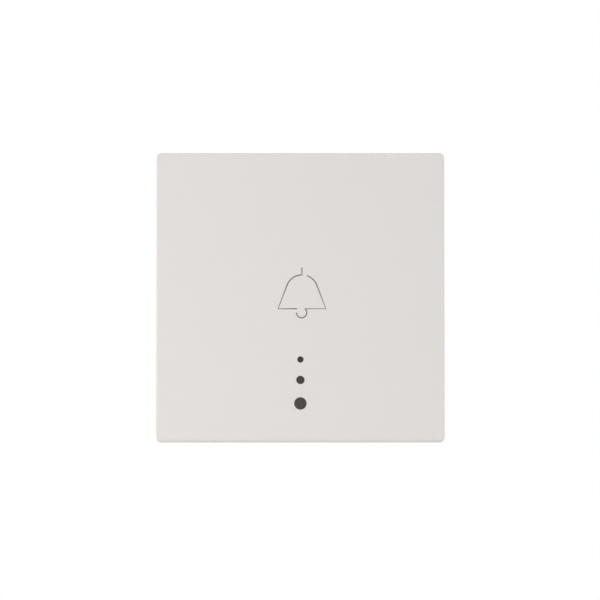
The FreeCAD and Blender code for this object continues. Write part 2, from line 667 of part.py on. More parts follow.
def make_housing():
    """The moulded base that closes the ring at the rear and holds the terminals."""
    body = new_body("housing")
    plate = Outline(body, "plate_outline", FRONT, "0 - floor").cut_square("housing_side", "housing_cut")
    pad(body, "plate", plate, "housing_wall", backward=True)
    back = value("housing_depth")
    finish_edges(body, "Chamfer", "rear_edge", "rear_bevel", lambda p: near(p.y, back))
    bosses = Outline(body, "boss_outline", FRONT, "0 - floor")
    holders = Outline(body, "holder_outline", FRONT, "0 - floor")
    wells = Outline(body, "well_outline", FRONT, "0 - floor")
    wires = Outline(body, "wire_outline", FRONT, "0 - floor")
    for side, sign in BOTH_SIDES:
        holder_box(holders, sign, "holder_wall", "housing_in")
        holder_box(wells, sign, "0", "block_out")
        wires.circle(f"{sign}wire_offset", "0 - arm_length", "wire_radius")
    pad(body, "holders", holders, "holder_depth")
    seats = Outline(body, "seat_outline", FRONT, "0 - floor")
    for name, across, up in boss_spots()[2:]:
        seats.circle(across, up, "sleeve_radius + sleeve_play")
    pocket(body, "sleeve_seats", seats, "holder_depth")
    for name, across, up in boss_spots():
        bosses.circle(across, up, "boss_radius")
    pad(body, "bosses", bosses, "boss_low")
    pocket(body, "wells", wells, "holder_depth")
    post = Outline(body, "post_outline", FRONT, "0 - floor").circle("0", "0 - arm_length", "post_radius")
    pad(body, "spring_post", post, "post_length")
    pocket(body, "wire_holes", wires, "housing_wall", backward=True)
    screws = Outline(body, "screw_outline", FRONT, "0 - housing_depth")
    recesses = Outline(body, "recess_outline", FRONT, "0 - housing_depth")
    for name, across, up in boss_spots():
        screws.circle(across, up, "fixing_radius + fixing_play")
        recesses.circle(across, up, "fixing_head + fixing_play")
    pocket(body, "screw_holes", screws, "housing_wall + boss_low")
    pocket(body, "screw_recesses", recesses, "housing_depth - fixing_seat")
    cut_access(body)


def make_sleeve(name, across, up):
    """A spacer sleeve round a housing screw, between the cover and the base."""
    body = new_body(f"spacer_sleeve_{name}")
    tube = Outline(body, "tube_outline", FRONT, "0 - boss_split").circle(across, up, "sleeve_radius")
    tube.circle(across, up, "fixing_radius + fixing_play")
    pad(body, "tube", tube, "floor - boss_low - boss_split", backward=True)


def make_cover():
    """The moulded cover in front of the strap, with the bearing ears and the plunger's guide."""
    body = new_body("cover")
    plate = Outline(body, "plate_outline", FRONT, "strap_thick").cut_square("cover_side", "housing_cut")
    pad(body, "plate", plate, "cover_thick")
    front = value("cover_front")
    finish_edges(body, "Chamfer", "plate_edge", "cover_thick / 4", lambda p: near(p.y, -front))
    rim = Outline(body, "rim_outline", FRONT, "strap_thick")
    outer = "housing_wall + spigot_play"
    inner = f"{outer} + spigot_wall"
    for inset in (outer, inner):
        rim.cut_square(f"housing_side - 2 * ({inset})", f"housing_cut - ({inset}) * {CORNER_SHARE}")
    pad(body, "rim", rim, "strap_thick + spigot_depth", backward=True)
    bosses = Outline(body, "boss_outline", FRONT, "strap_thick")
    for name, across, up in boss_spots():
        bosses.circle(across, up, "boss_radius")
    pad(body, "bosses", bosses, "strap_thick + boss_split", backward=True)
    guide = Outline(body, "guide_outline", FRONT, "strap_thick")
    guide.circle("0", "0 - arm_length", "guide_round")
    pad(body, "guide", guide, "strap_thick + guide_depth", backward=True)
    pegs = Outline(body, "peg_outline", FRONT, "strap_thick")
    for side, sign in BOTH_SIDES:
        pegs.circle(f"{sign}peg_spread", "upper_dot", "peg_radius")
    pad(body, "pegs", pegs, "strap_thick + board_back + peg_rise", backward=True)
    shoulders = Outline(body, "shoulder_outline", FRONT, "strap_thick")
    for side, sign in BOTH_SIDES:
        shoulders.circle(f"{sign}peg_spread", "upper_dot", "2 * peg_radius")
    pad(body, "peg_shoulders", shoulders, "strap_thick + board_front", backward=True)
    bore = Outline(body, "bore_outline", FRONT, "0 - guide_depth")
    bore.circle("0", "0 - arm_length", "plunger_radius + plunger_play")
    pocket(body, "guide_bore", bore, "guide_depth + cover_front")
    lamp = Outline(body, "lamp_outline", FRONT, "strap_thick")
    lamp.circle("0", "upper_dot", "lamp_radius + lamp_play")
    pocket(body, "lamp_hole", lamp, "cover_thick")
    threads = Outline(body, "thread_outline", FRONT, "0 - boss_split")
    for name, across, up in boss_spots():
        threads.circle(across, up, "fixing_radius + thread_play")
    pocket(body, "threads", threads, "fixing_grip + fixing_end")
    ear = Outline(body, "ear_outline", SIDE, "ear_in").polygon(
        ("0 - cover_front", "ear_foot"),
        ("0 - pivot_height", "ear_round"),
        ("0 - pivot_height", "0 - ear_round"),
        ("0 - cover_front", "0 - ear_foot"),
    )
    right_ear = pad(body, "right_ear", ear, "ear_thick")
    eye = Outline(body, "eye_outline", SIDE, "ear_in").circle("0 - pivot_height", "0", "ear_round")
    right_eye = pad(body, "right_eye", eye, "ear_thick")
    pin = Outline(body, "pin_hole_outline", SIDE, "ear_in")
    pin.circle("0 - pivot_height", "0", "pin_radius + pin_play")
    right_hole = pocket(body, "right_pin_hole", pin, "ear_thick")
    mirror(body, "left_ear", SIDE, right_ear, right_eye, right_hole)


def make_plunger():
    """The plunger between the cradle's finger and the contact bridge."""
    body = new_body("plunger")
    outline = Outline(body, "outline", TOP).polygon(
        ("0", "plunger_nose"),
        ("plunger_radius - plunger_bevel", "plunger_nose"),
        ("plunger_radius", "plunger_nose + plunger_bevel"),
        ("plunger_radius", "collar_front"),
        ("collar_radius", "collar_front"),
        ("collar_radius", "bridge_front"),
        ("neck_radius", "bridge_front"),
        ("neck_radius", "bridge_back + neck_length"),
        ("0", "bridge_back + neck_length"),
    )
    revolve(body, "turned", outline)
    stand_at(body, "0", "0", "0 - arm_length")


def make_bridge():
    """The sprung copper strip that closes the circuit."""
    body = new_body("contact_bridge")
    strip = Outline(body, "strip_outline", FRONT, "0 - bridge_front")
    strip.box("0 - bridge_length / 2", "bridge_length / 2", "0 - bridge_width / 2", "bridge_width / 2")
    pad(body, "strip", strip, "bridge_thick", backward=True)
    ends = at_corner(value("bridge_length / 2"), value("bridge_width / 2"))
    finish_edges(body, "Fillet", "ends", "bridge_width / 3", ends)
    holes = Outline(body, "hole_outline", FRONT, "0 - bridge_front")
    holes.circle("0", "0", "neck_radius + bridge_play")
    for side, sign in BOTH_SIDES:
        holes.circle(f"{sign}tip_spread", "0", "tip_shank")
    pocket(body, "holes", holes, "bridge_thick", backward=True)
    stand_at(body, "0", "0", "0 - arm_length")


def make_tip(name, sign, carrier, seat, turn):
    """A silver contact tip, riveted through its carrier, with its head on the carrier's seat."""
    body = new_body(name)
    outline = Outline(body, "outline", TOP).polygon(
        ("0", "tip_head"),
        ("tip_radius * 0.6", "tip_head"),
        ("tip_radius", "tip_head * 0.6"),
        ("tip_radius", "0"),
        ("tip_shank", "0"),
        ("tip_shank", f"0 - {carrier}"),
        ("tip_rivet", f"0 - {carrier}"),
        ("tip_rivet * 0.7", f"0 - {carrier} - rivet_rise"),
        ("0", f"0 - {carrier} - rivet_rise"),
    )
    revolve(body, "turned", outline)
    stand_at(body, f"{sign}tip_spread", seat, "0 - arm_length", turn)


def make_terminal(side, sign):
    """A brass terminal: a contact strip and the block that clamps the wire."""
    body = new_body(f"terminal_{side}")
    block = Outline(body, "block_outline", FRONT, "0 - block_front")
    holder_box(block, sign, "0", "block_out")
    pad(body, "block", block, "floor - block_front", backward=True)
    inner = value("block_in")
    rim = value("block_high / 2")
    level = value("arm_length")
    finish_edges(
        body,
        "Chamfer",
        "block_edges",
        "block_bevel",
        lambda p: near(abs(p.x), inner) and near(abs(p.z + level), rim),
    )
    strip = Outline(body, "strip_outline", FRONT, "0 - fixed_tip")
    strip.box(
        f"{sign}strip_start",
        f"{sign}block_out",
        "0 - arm_length - bridge_width / 2",
        "bridge_width / 2 - arm_length",
    )
    pad(body, "strip", strip, "strip_thick", backward=True)
    wire = Outline(body, "wire_outline", FRONT, "0 - floor")
    wire.circle(f"{sign}wire_offset", "0 - arm_length", "wire_radius")
    pocket(body, "wire_hole", wire, "floor - block_front - wire_stop")
    clamp = Outline(body, "clamp_outline", SIDE, f"{sign}block_out")
    clamp.circle("clamp_level", "0 - arm_length", "clamp_radius + clamp_play")
    pocket(body, "clamp_hole", clamp, "block_out - wire_offset", backward=sign == "")
    tip = Outline(body, "tip_outline", FRONT, "0 - fixed_tip")
    tip.circle(f"{sign}tip_spread", "0 - arm_length", "tip_shank")
    pocket(body, "tip_hole", tip, "strip_thick", backward=True)


def make_screw(name, shank, length, head, rise, cross):
    """A screw along Y with its head to +Y and the head's seat at the middle."""
    body = new_body(name)
    outline = Outline(body, "outline", TOP).polygon(
        ("0", rise),
        (f"{head} * 0.8", rise),
        (head, f"{rise} * 0.7"),
        (head, "0"),
        (shank, "0"),
        (shank, f"{shank} * 0.5 - ({length})"),
        (f"{shank} * 0.5", f"0 - ({length})"),
        ("0", f"0 - ({length})"),
    )
    revolve(body, "turned", outline)
    reach = f"{head} * 0.6" if cross else f"{head} + 1"
    for plane, used in ((TOP, True), (SIDE, cross)):
        if used:
            slot = Outline(body, "slot_" + plane[:2].lower(), plane)
            span = (f"0 - ({reach})", reach)
            deep = (f"{rise} * 0.4", f"{rise} + 1")
            slot.box(*(span + deep if plane == TOP else deep + span))
            pocket(body, "drive_" + plane[:2].lower(), slot, "screw_slot", both_ways=True)
    return body


def make_spring():
    """The coil spring that pushes the plunger and the key back out, its wire drawn eight-sided."""
    wire = value("spring_wire") / 2
    start = value("bridge_back + spring_play") + wire
    length = value("floor - spring_play") - wire - start
    radius = value("spring_radius")
    count = round(value("spring_turns") * RUNS_PER_TURN)
    path = []
    for run in range(count + 1):
        turn = 2 * math.pi * run / RUNS_PER_TURN
        path.append(FreeCAD.Vector(radius * math.cos(turn), radius * math.sin(turn), length * run / count))
    along = (path[1] - path[0]).normalize()
    outward = FreeCAD.Vector(1, 0, 0)
    upward = along.cross(outward)
    outward = upward.cross(along)
    eighths = [math.pi / 4 * side for side in range(8)]
    ring = [path[0] + (outward * math.cos(a) + upward * math.sin(a)) * wire for a in eighths]
    section = Part.makePolygon(ring + ring[:1])
    feature = doc.addObject("Part::Feature", "return_spring")
    feature.Label = "return_spring"
    feature.Shape = Part.makePolygon(path).makePipeShell([section], True, False, MITRED)
    backward = FreeCAD.Rotation(FreeCAD.Vector(1, 0, 0), -90)
    feature.Placement = FreeCAD.Placement(FreeCAD.Vector(0, start, -value("arm_length")), backward)
    parts.append(feature)


def make_lamp():
    """The lamp behind the light guide's end."""
    body = new_body("lamp")
    bulb = Outline(body, "bulb_outline", FRONT, "strap_thick").circle("0", "upper_dot", "lamp_radius")
    pad(body, "bulb", bulb, "lamp_rise")
    front = value("strap_thick + lamp_rise")
    finish_edges(body, "Fillet", "dome", "lamp_radius * 0.9", lambda p: near(p.y, -front))
    flange = Outline(body, "flange_outline", FRONT, "strap_thick")
    flange.circle("0", "upper_dot", "lamp_flange")
    pad(body, "flange", flange, "lamp_seat", backward=True)


def make_board():
    """The small board that carries the lamp, held on two pegs of the cover."""
    body = new_body("lamp_board")
    board = Outline(body, "board_outline", FRONT, "0 - board_front")
    board.box(
        "0 - board_length / 2",
        "board_length / 2",
        "upper_dot - board_high / 2",
        "upper_dot + board_high / 2",
    )
    for side, sign in BOTH_SIDES:
        board.circle(f"{sign}peg_spread", "upper_dot", "peg_radius + peg_play")
    pad(body, "board", board, "board_thick", backward=True)


def make_resistor():
    """The lamp's series resistor on the back of its board."""
    body = new_body("lamp_resistor")
    chip = Outline(body, "chip_outline", FRONT, "0 - board_back")
    chip.box(
        "chip_offset - chip_length / 2",
        "chip_offset + chip_length / 2",
        "upper_dot - chip_high / 2",
        "upper_dot + chip_high / 2",
    )
    pad(body, "chip", chip, "chip_thick", backward=True)


def make_lead(side, sign):
    """A bent strip from the lamp's board to a contact strip."""
    body = new_body(f"lamp_lead_{side}")
    rail = "upper_dot + board_high / 2"
    end = "fixed_tip + (strip_thick + lead_thick) / 2"
    lead = Outline(body, "lead_outline", SIDE, f"{sign}lead_spread").polygon(
        ("board_back", rail),
        ("board_back", f"{rail} - lead_thick"),
        (end, f"{rail} - lead_thick"),
        (end, "0 - arm_length - bridge_width / 2"),
        (f"{end} - lead_thick", "0 - arm_length - bridge_width / 2"),
        (f"{end} - lead_thick", rail),
    )
    pad(body, "lead", lead, "lead_width", both_ways=True)


def build():
    """Makes every piece."""
    make_key()
    make_light_guide()
    make_cradle()
    make_strap()
    make_ring()
    make_housing()
    make_cover()
    make_plunger()
    make_bridge()
    make_spring()
    make_lamp()
    make_board()
    make_resistor()
    for side, sign in BOTH_SIDES:
        make_tip(f"bridge_tip_{side}", sign, "bridge_thick", "bridge_back", 0)
        make_tip(f"fixed_tip_{side}", sign, "strip_thick", "fixed_tip", 180)
        make_terminal(side, sign)
        make_lead(side, sign)
        length = "block_out + clamp_lift - wire_offset - wire_radius - wire_gap"
        screw = make_screw(f"clamp_screw_{side}", "clamp_radius", length, "clamp_head", "clamp_rise", False)
        turn = 90 if sign else -90
        stand_at(screw, f"{sign}(block_out + clamp_lift)", "clamp_level", "0 - arm_length", turn)
    for name, across, up in boss_spots():
        make_sleeve(name, across, up)
        label = f"housing_screw_{name}"
        length = "fixing_seat - boss_split + fixing_grip"
        screw = make_screw(label, "fixing_radius", length, "fixing_head", "fixing_rise", True)
        stand_at(screw, across, "fixing_seat", up)


def check():
    """Stops if a step of the model failed."""
    for item in doc.Objects:
        if "Invalid" in item.State or "Error" in item.State:
            raise RuntimeError(f"{item.Label} failed: {item.State}")
    for piece in parts:
        if piece.Shape.isNull() or not piece.Shape.isValid():
            raise RuntimeError(f"{piece.Label} has no valid shape")
        if len(piece.Shape.Solids) != 1:
            raise RuntimeError(f"{piece.Label} has {len(piece.Shape.Solids)} solids")


def export():
    """Writes each piece to its own file."""
    os.makedirs("parts", exist_ok=True)
    for piece in parts:
        piece.Shape.exportStep(os.path.join("parts", piece.Label + ".step"))
        print(piece.Label, round(piece.Shape.Volume, 2))


build()
doc.recompute()
check()
export()
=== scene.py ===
import json
import math

import bmesh
import bpy
from mathutils import Matrix, Vector


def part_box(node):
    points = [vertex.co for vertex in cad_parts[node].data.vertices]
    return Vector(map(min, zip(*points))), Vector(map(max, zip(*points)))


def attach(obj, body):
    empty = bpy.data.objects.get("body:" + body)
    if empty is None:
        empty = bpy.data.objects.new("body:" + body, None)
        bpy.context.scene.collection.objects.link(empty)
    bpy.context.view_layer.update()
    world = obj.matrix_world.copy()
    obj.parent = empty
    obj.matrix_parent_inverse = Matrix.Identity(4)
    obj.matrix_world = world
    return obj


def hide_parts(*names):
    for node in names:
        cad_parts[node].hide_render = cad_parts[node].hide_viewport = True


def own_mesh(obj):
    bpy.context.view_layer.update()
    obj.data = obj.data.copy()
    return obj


bl_info = {
    "name": "Doorbell push",
    "version": (1, 0, 0),
    "blender": (4, 5, 0),
    "location": "3D View > Sidebar > Doorbell",
    "description": "Finishes a square doorbell push and sets its stage",
    "category": "Object",
}

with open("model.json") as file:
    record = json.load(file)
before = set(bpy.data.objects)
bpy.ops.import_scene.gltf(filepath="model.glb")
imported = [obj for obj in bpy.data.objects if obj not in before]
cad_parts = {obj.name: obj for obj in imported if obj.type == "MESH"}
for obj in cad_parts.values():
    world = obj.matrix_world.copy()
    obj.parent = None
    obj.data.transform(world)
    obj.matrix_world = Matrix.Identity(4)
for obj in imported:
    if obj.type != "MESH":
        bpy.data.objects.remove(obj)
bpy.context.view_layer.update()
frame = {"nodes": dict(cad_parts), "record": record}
nodes = frame["nodes"]
MM = 0.001


def box_of(node):
    """A node's lowest and highest corners."""
    low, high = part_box(node)
    return Vector(low), Vector(high)


def middle_of(node):
    """The middle of a node's box."""
    low, high = box_of(node)
    return (low + high) / 2


def joint(name):
    """What the record says of a joint."""
    return next(entry for entry in frame["record"]["behaviour"]["joints"] if entry["name"] == name)


def pivot():
    """Where the key turns."""
    return Vector(joint("key_press")["pos_m"])


class BellSizes(bpy.types.PropertyGroup):
    """The printed bell, in the plane of the key's face, from the key's middle."""

    line: bpy.props.FloatProperty(
        name="Line", description="Width of the printed line", default=0.34 * MM, unit="LENGTH"
    )
    rise: bpy.props.FloatProperty(
        name="Rise", description="Height of the print above the face", default=0.012 * MM, unit="LENGTH"
    )
    middle: bpy.props.FloatProperty(
        name="Middle", description="From the key's middle across to the stem", default=0.38 * MM,
        unit="LENGTH",
    )
    top: bpy.props.FloatProperty(
        name="Top", description="Height of the stem's top", default=7.16 * MM, unit="LENGTH"
    )
    crown: bpy.props.FloatProperty(
        name="Crown", description="Height of the bell's crown", default=5.36 * MM, unit="LENGTH"
    )
    crown_radius: bpy.props.FloatProperty(
        name="Crown radius", description="Radius of the bell's crown", default=3.95 * MM, unit="LENGTH"
    )
    rim: bpy.props.FloatProperty(
        name="Rim", description="Height of the bell's rim", default=-3.05 * MM, unit="LENGTH"
    )
    half: bpy.props.FloatProperty(
        name="Half width", description="Half the width of the bell's rim", default=5.93 * MM, unit="LENGTH"
    )
    shoulder_turn: bpy.props.FloatProperty(
        name="Shoulder", description="How far the crown turns down to the flank", default=math.radians(69),
        subtype="ANGLE",
    )
    clapper: bpy.props.FloatProperty(
        name="Clapper", description="Radius of the clapper's hook", default=1.27 * MM, unit="LENGTH"
    )
    lean: bpy.props.FloatProperty(
        name="Lean", description="How far the key's face leans back at rest", default=math.radians(3.5),
        subtype="ANGLE",
    )
    front: bpy.props.FloatProperty(
        name="Front", description="From the pivot out to the key's face", default=7.0 * MM, unit="LENGTH"
    )


class InsideSizes(bpy.types.PropertyGroup):
    """Pieces of the insert that the solids leave plain."""

    spring_wire: bpy.props.FloatProperty(
        name="Spring wire", description="Diameter of the return spring's wire", default=0.5 * MM,
        unit="LENGTH",
    )
    spring_turns: bpy.props.IntProperty(
        name="Open turns", description="Turns of the return spring between its closed ends", default=5, min=1
    )
    solder: bpy.props.FloatProperty(
        name="Solder", description="Height of a solder joint", default=0.5 * MM, unit="LENGTH"
    )
    track: bpy.props.FloatProperty(
        name="Track", description="Width of the tracks on the lamp's board", default=0.6 * MM, unit="LENGTH"
    )
    collar: bpy.props.FloatProperty(
        name="Collar", description="Width of the raised ring round a wire hole", default=0.55 * MM,
        unit="LENGTH",
    )
    relief: bpy.props.FloatProperty(
        name="Relief", description="Height of the raised marks on the housing", default=0.25 * MM,
        unit="LENGTH",
    )


class PlasticColours(bpy.types.PropertyGroup):
    """Colours of the moulded pieces."""

    key: bpy.props.FloatVectorProperty(
        name="Key", description="Colour of the key", default=(0.733, 0.702, 0.681), subtype="COLOR"
    )
    window: bpy.props.FloatVectorProperty(
        name="Large window", description="Colour of the smoked plastic in the largest window",
        default=(0.041, 0.042, 0.034), subtype="COLOR",
    )
    small_window: bpy.props.FloatVectorProperty(
        name="Small window", description="Colour of the smoked plastic in the smallest window",
        default=(0.019, 0.013, 0.009), subtype="COLOR",
    )
    print: bpy.props.FloatVectorProperty(
        name="Print", description="Colour of the printed bell", default=(0.21, 0.195, 0.18), subtype="COLOR"
    )
    frame_grey: bpy.props.FloatVectorProperty(
        name="Cover", description="Colour of the cover and the cradle", default=(0.30, 0.31, 0.31),
        subtype="COLOR",
    )
    housing: bpy.props.FloatVectorProperty(
        name="Housing", description="Colour of the housing", default=(0.035, 0.037, 0.040), subtype="COLOR"
    )
    plunger: bpy.props.FloatVectorProperty(
        name="Plunger", description="Colour of the plunger", default=(0.66, 0.62, 0.52), subtype="COLOR"
    )


class StageSettings(bpy.types.PropertyGroup):
    """The floor, the lamps and the camera."""

    distance: bpy.props.FloatProperty(
        name="Distance", description="From the camera to the key's face", default=1.0, unit="LENGTH"
    )
    field: bpy.props.FloatProperty(
        name="Field", description="Width of the view at the key's face", default=148.85 * MM, unit="LENGTH"
    )
    drop: bpy.props.FloatProperty(
        name="Drop", description="From the view's middle up to the pivot", default=0.45 * MM, unit="LENGTH"
    )
    aside: bpy.props.FloatProperty(
        name="Aside", description="From the view's middle across to the pivot", default=0.10 * MM,
        unit="LENGTH",
    )
    floor_drop: bpy.props.FloatProperty(
        name="Floor", description="From the pivot down to the floor", default=0.30, unit="LENGTH"
    )
    floor_radius: bpy.props.FloatProperty(
        name="Floor radius", description="Radius of the round floor", default=0.55, unit="LENGTH"
    )
    world: bpy.props.FloatProperty(
        name="World", description="Light from all round", default=0.36, min=0.0
    )


def settings(name):
    """One of the property groups of the open scene."""
    return getattr(bpy.context.scene, name)


class Finish:
    """A material being made: its principled shader and the patterns that feed it."""

    def __init__(self, name):
        self.material = bpy.data.materials.new(name)
        self.material.use_nodes = True
        self.tree = self.material.node_tree
        self.shader = self.tree.nodes["Principled BSDF"]
        self.place = self.tree.nodes.new("ShaderNodeTexCoord").outputs["Object"]

    def node(self, kind, **values):
        """Adds a node. Values go to its sockets, or to its settings where no socket has that name."""
        made = self.tree.nodes.new(kind)
        for key, value in values.items():
            if key in made.inputs:
                made.inputs[key].default_value = value
            else:
                setattr(made, key, value)
        return made

    def link(self, source, target):
        """Joins two sockets."""
        self.tree.links.new(source, target)

    def stretched(self, scale):
        """The object's coordinates, scaled along the three axes."""
        mapping = self.node("ShaderNodeMapping", Scale=scale)
        self.link(self.place, mapping.inputs["Vector"])
        return mapping.outputs["Vector"]

    def noise(self, size, detail=3.0, stretch=None, rough=0.5):
        """Cloudy noise whose spots are about size wide."""
        made = self.node("ShaderNodeTexNoise", Scale=1.0 / size, Detail=detail, Roughness=rough)
        self.link(self.stretched(stretch) if stretch else self.place, made.inputs["Vector"])
        return made.outputs["Fac"]

    def spread(self, source, low, high, from_low=0.3, from_high=0.7):
        """Maps a pattern to the range from low to high."""
        limits = {"From Min": from_low, "From Max": from_high, "To Min": low, "To Max": high}
        made = self.node("ShaderNodeMapRange", **limits)
        self.link(source, made.inputs["Value"])
        return made.outputs["Result"]

    def blend(self, factor, first, second):
        """Mixes two colours by a pattern."""
        made = self.node("ShaderNodeMix", data_type="RGBA")
        colours = [socket for socket in made.inputs if socket.type == "RGBA"]
        colours[0].default_value = (*first, 1.0)
        colours[1].default_value = (*second, 1.0)
        self.link(factor, made.inputs[0])
        return next(socket for socket in made.outputs if socket.type == "RGBA")

    def set(self, **values):
        """Sets sockets of the shader that are the same all over."""
        for key, value in values.items():
            self.shader.inputs[key.replace("_", " ")].default_value = value

    def feed(self, name, source):
        """Feeds a socket of the shader with a pattern."""
        self.link(source, self.shader.inputs[name])

    def bumps(self, *layers):
        """Stacks bump layers. Each is a pattern and its height in metres."""
        normal = None
        for pattern, height in layers:
            bump = self.node("ShaderNodeBump", Strength=1.0, Distance=height)
            self.link(pattern, bump.inputs["Height"])
            if normal:
                self.link(normal, bump.inputs["Normal"])
            normal = bump.outputs["Normal"]
        self.feed("Normal", normal)


def shade(colour, factor):
    """A colour made darker or lighter."""
    return tuple(min(1.0, c * factor) for c in colour)


def moulded(name, colour, rough, grain, depth, tone=0.03):
    """A moulded or glazed skin: an even colour with faint flow clouds and a fine grain."""
    made = Finish(name)
    made.feed("Base Color", made.blend(made.noise(9 * MM), shade(colour, 1 - tone), shade(colour, 1 + tone)))
    made.feed("Roughness", made.spread(made.noise(2.5 * MM), rough - 0.04, rough + 0.04))
    made.bumps((made.noise(grain, 2.0), depth), (made.noise(6 * MM, 1.0), depth * 2))
    return made


def key_plastic():
    """Warm white gloss plastic, even and clean, with the faint waviness of a moulded face."""
    colour = settings("bell_colours").key
    made = moulded("warm_white_plastic", colour, 0.56, 0.8 * MM, 0.0001 * MM, 0.004)
    made.set(IOR=1.36)
    return made.material


def window_plastic():
    """Smoked clear plastic, a little lighter and less brown at the guide's lower end."""
    colours = settings("bell_colours")
    made = Finish("smoked_clear_plastic")
    split = made.node("ShaderNodeSeparateXYZ")
    made.link(made.place, split.inputs["Vector"])
    low, high = box_of("light_guide")
    depth = made.spread(split.outputs["Z"], 1.0, 0.0, low.z, high.z)
    made.feed("Base Color", made.blend(depth, colours.small_window, colours.window))
    made.feed("Roughness", made.spread(made.noise(0.8 * MM), 0.12, 0.2))
    made.bumps((made.noise(0.5 * MM), 0.0008 * MM))
    made.set(IOR=1.49)
    return made.material


def print_ink():
    """Grey pad-printing ink, slightly matt and a little uneven in density."""
    colour = settings("bell_colours").print
    made = Finish("grey_ink")
    made.feed("Base Color", made.blend(made.noise(0.6 * MM), shade(colour, 0.9), shade(colour, 1.12)))
    made.feed("Roughness", made.spread(made.noise(0.1 * MM), 0.45, 0.6))
    made.bumps((made.noise(0.06 * MM), 0.001 * MM))
    return made.material


def cover_plastic():
    """Grey glass-filled thermoplastic of the cover and the cradle."""
    colour = settings("bell_colours").frame_grey
    made = moulded("grey_thermoplastic", colour, 0.5, 0.16 * MM, 0.004 * MM, 0.05)
    made.set(IOR=1.52)
    return made.material


def housing_plastic():
    """Near-black thermoset of the housing, with a dull skin and pale specks of filler."""
    colour = settings("bell_colours").housing
    made = moulded("dark_thermoset", colour, 0.42, 0.12 * MM, 0.005 * MM, 0.12)
    speck = made.node("ShaderNodeTexVoronoi", Scale=1.0 / (0.35 * MM))
    made.link(made.place, speck.inputs["Vector"])
    mask = made.spread(speck.outputs["Distance"], 1.0, 0.0, 0.05, 0.12)
    made.feed("Base Color", made.blend(mask, colour, shade(colour, 2.4)))
    return made.material


def mark_plastic():
    """The housing's thermoset where the mould is polished, so that the marks look glossier, with painted
    sheen that makes their colour lighter.
    """
    # The housing's colour made 2.2 times lighter: painted sheen of the polished tops, not a lighter plastic.
    colour = shade(settings("bell_colours").housing, 2.2)
    return moulded("polished_thermoset_painted_sheen", colour, 0.24, 0.3 * MM, 0.002 * MM, 0.06).material


def slide_plastic():
    """Natural low-friction plastic of the plunger, waxy and a little see-through."""
    made = moulded("natural_acetal", settings("bell_colours").plunger, 0.34, 0.2 * MM, 0.002 * MM)
    made.set(Subsurface_Weight=0.15, Subsurface_Scale=0.6 * MM)
    made.shader.inputs["Subsurface Radius"].default_value = (1.0, 0.9, 0.7)
    return made.material


def plated_sheet():
    """Zinc-plated sheet steel: bluish grey, with rolling lines and cloudy spangle."""
    made = Finish("zinc_plated_sheet")
    cloud = made.noise(3.0 * MM, 4.0, rough=0.6)
    made.feed("Base Color", made.blend(cloud, (0.46, 0.47, 0.48), (0.60, 0.61, 0.61)))
    lines = made.noise(0.5 * MM, 2.0, (0.03, 1.0, 1.0))
    made.feed("Roughness", made.spread(lines, 0.24, 0.42))
    made.bumps((lines, 0.002 * MM), (made.noise(1.2 * MM), 0.002 * MM))
    made.set(Metallic=1.0)
    return made.material


# Metals: the darker and the lighter colour, the roughness, the size of the working marks and their stretch.
METALS = {
    "plated_screw": ((0.50, 0.51, 0.51), (0.64, 0.64, 0.62), 0.3, 0.2 * MM, None),
    "rolled_copper": ((0.72, 0.36, 0.22), (0.84, 0.46, 0.30), 0.26, 0.3 * MM, (0.05, 1, 1)),
    "machined_brass": ((0.68, 0.48, 0.20), (0.80, 0.60, 0.30), 0.24, 0.25 * MM, (1, 0.1, 1)),
    "contact_silver": ((0.76, 0.74, 0.70), (0.88, 0.87, 0.84), 0.2, 0.15 * MM, None),
    "spring_steel": ((0.32, 0.32, 0.32), (0.45, 0.45, 0.44), 0.22, 0.1 * MM, None),
    "tinned_solder": ((0.55, 0.55, 0.56), (0.72, 0.72, 0.72), 0.24, 0.2 * MM, None),
}


def metal(name):
    """Bare or plated metal with fine working marks, as its row in the table says."""
    dark, light, rough, grain, stretch = METALS[name]
    made = Finish(name)
    marks = made.noise(grain, 3.0, stretch)
    made.feed("Base Color", made.blend(made.noise(1.5 * MM), dark, light))
    made.feed("Roughness", made.spread(marks, rough - 0.08, rough + 0.1))
    made.bumps((marks, 0.0015 * MM))
    made.set(Metallic=1.0)
    return made.material


def lamp_plastic():
    """Clear cast resin of the lamp, through which its chip shows."""
    made = Finish("clear_lamp_resin")
    made.feed("Base Color", made.blend(made.noise(1.0 * MM), (0.86, 0.87, 0.84), (0.93, 0.93, 0.90)))
    made.feed("Roughness", made.spread(made.noise(0.4 * MM), 0.05, 0.12))
    made.bumps((made.noise(0.7 * MM), 0.001 * MM))
    made.set(IOR=1.53, Transmission_Weight=0.75)
    return made.material


def board_laminate():
    """Coated glass laminate of the lamp's board, with the weave showing through the coat."""
    made = Finish("green_laminate")
    weave = made.node("ShaderNodeTexWave", Scale=1.0 / (0.9 * MM), Distortion=0.4)
    made.link(made.place, weave.inputs["Vector"])
    made.feed("Base Color", made.blend(weave.outputs["Fac"], (0.012, 0.070, 0.030), (0.020, 0.100, 0.045)))
    made.feed("Roughness", made.spread(made.noise(0.5 * MM), 0.22, 0.34))
    made.bumps((weave.outputs["Fac"], 0.002 * MM))
    return made.material


def track_laminate():
    """The coat over the board's copper tracks, lighter than over the bare laminate."""
    made = Finish("track_green")
    made.feed("Base Color", made.blend(made.noise(0.8 * MM), (0.030, 0.150, 0.060), (0.045, 0.185, 0.080)))
    made.feed("Roughness", made.spread(made.noise(0.4 * MM), 0.2, 0.32))
    made.bumps((made.noise(0.3 * MM), 0.001 * MM))
    return made.material


def resistor_glaze():
    """Black glazed ceramic of the resistor."""
    return moulded("black_glaze", (0.018, 0.018, 0.02), 0.25, 0.1 * MM, 0.002 * MM).material


def dress(material, *names):
    """Gives CAD nodes their finish."""
    for name in names:
        slots = nodes[name].material_slots
        if not slots:
            nodes[name].data.materials.append(material)
        for slot in slots:
            slot.material = material


CONE_SIDES = 24
TURNED_SIDES = 40
WELD = 1e-7  # points that lie closer together than this become one


